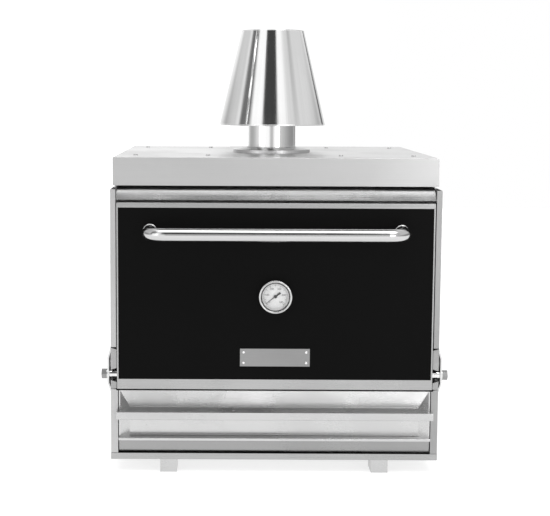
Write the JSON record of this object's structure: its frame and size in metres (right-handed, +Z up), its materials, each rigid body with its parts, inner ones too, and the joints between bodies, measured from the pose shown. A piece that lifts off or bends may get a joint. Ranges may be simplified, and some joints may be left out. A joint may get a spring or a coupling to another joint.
{
  "type": "tabletop charcoal oven",
  "caption": "Tabletop charcoal oven with drop-down door, tube handle, dial thermometer, pull-out grease and ash drawers and an open conical flue hat.",
  "frame": {"origin": "on the floor under the centre of the bounding box", "axes": "+X to the oven's right seen from the front, +Y to its back, +Z up; the door faces -Y"},
  "size_m": [0.778, 0.709, 1.005],
  "materials": {
    "brushed_stainless": "fine brushed grain",
    "polished_stainless": "bright polished",
    "plain_steel": "dull mill finish",
    "scaled_steel": "heat-scaled matt",
    "satin_steel": "satin",
    "dark_bolt_steel": "turned",
    "black_panel": "satin black coat",
    "fibre_wool": "soft mineral fibre",
    "rope_seal": "braided",
    "cast_iron": "sand cast",
    "grill_rod": "drawn rod",
    "dial_white": "white enamel",
    "lens_glass": "clear",
    "needle_black": "matt black"
  },
  "bodies": {
    "oven": {"top_cover": "brushed_stainless", "right_side_panel": "brushed_stainless", "left_side_panel": "brushed_stainless", "back_panel": "brushed_stainless", "drip_hood": "brushed_stainless", "hood_tab": "brushed_stainless", "base_tray": "brushed_stainless", "flue_hat": "polished_stainless", "flue_pipe": "polished_stainless", "flue_flange": "polished_stainless", "hat_straps": "polished_stainless", "hinge_bushes": "polished_stainless", "cover_screws": "polished_stainless", "front_frame": "plain_steel", "drawer_rails": "plain_steel", "bracket_rivets": "plain_steel", "cooking_chamber": "scaled_steel", "ash_chute": "scaled_steel", "grate_ledges": "scaled_steel", "grill_runners": "scaled_steel", "spark_screen": "scaled_steel", "right_hinge_bracket": "satin_steel", "left_hinge_bracket": "satin_steel", "hinge_washers": "satin_steel", "right_hinge_pin": "dark_bolt_steel", "left_hinge_pin": "dark_bolt_steel", "side_insulation": "fibre_wool", "top_insulation": "fibre_wool", "back_insulation": "fibre_wool", "floor_insulation": "fibre_wool", "door_seal": "rope_seal", "feet": "brushed_stainless", "ember_grate": "cast_iron"},
    "door": {"door_frame": "brushed_stainless", "door_front_panel": "black_panel", "door_inner_plate": "plain_steel", "door_insulation": "fibre_wool", "hinge_blocks": "plain_steel", "door_handle": "polished_stainless", "handle_rosettes": "polished_stainless", "handle_studs": "plain_steel", "blank_plate": "brushed_stainless", "plate_rivets": "polished_stainless", "thermometer_case": "polished_stainless", "thermometer_dial": "dial_white", "thermometer_lens": "lens_glass", "thermometer_probe": "plain_steel", "thermometer_nut": "plain_steel"},
    "needle": {"thermometer_needle": "needle_black"},
    "grease_drawer": {"grease_drawer_front": "brushed_stainless", "grease_pan": "plain_steel"},
    "ash_drawer": {"ash_drawer_front": "brushed_stainless", "ash_pan": "plain_steel"},
    "damper": {"damper_valve": "scaled_steel", "damper_lever": "scaled_steel"},
    "lower_grill_body": {"lower_grill": "grill_rod"},
    "upper_grill_body": {"upper_grill": "grill_rod"}
  },
  "joints": [
    {"name": "door_hinge", "type": "hinge", "parent": "oven", "child": "door", "pos_m": [0, -0.2515, 0.222], "axis": [1, 0, 0], "range_deg": [0, 90]},
    {"name": "needle_turn", "type": "hinge", "parent": "door", "child": "needle", "pos_m": [0, -0.2695, 0.403], "axis": [0, 1, 0], "range_deg": [0, 260]},
    {"name": "grease_drawer_slide", "type": "slide", "parent": "oven", "child": "grease_drawer", "axis": [0, -1, 0], "range_m": [0, 0.12]},
    {"name": "ash_drawer_slide", "type": "slide", "parent": "oven", "child": "ash_drawer", "axis": [0, -1, 0], "range_m": [0, 0.22]},
    {"name": "damper_turn", "type": "hinge", "parent": "oven", "child": "damper", "pos_m": [0, 0.0395, 0.746], "axis": [0, 1, 0], "range_deg": [0, 90]},
    {"name": "lower_grill_slide", "type": "slide", "parent": "oven", "child": "lower_grill_body", "axis": [0, -1, 0], "range_m": [0, 0.02]},
    {"name": "upper_grill_slide", "type": "slide", "parent": "oven", "child": "upper_grill_body", "axis": [0, -1, 0], "range_m": [0, 0.02]}
  ]
}
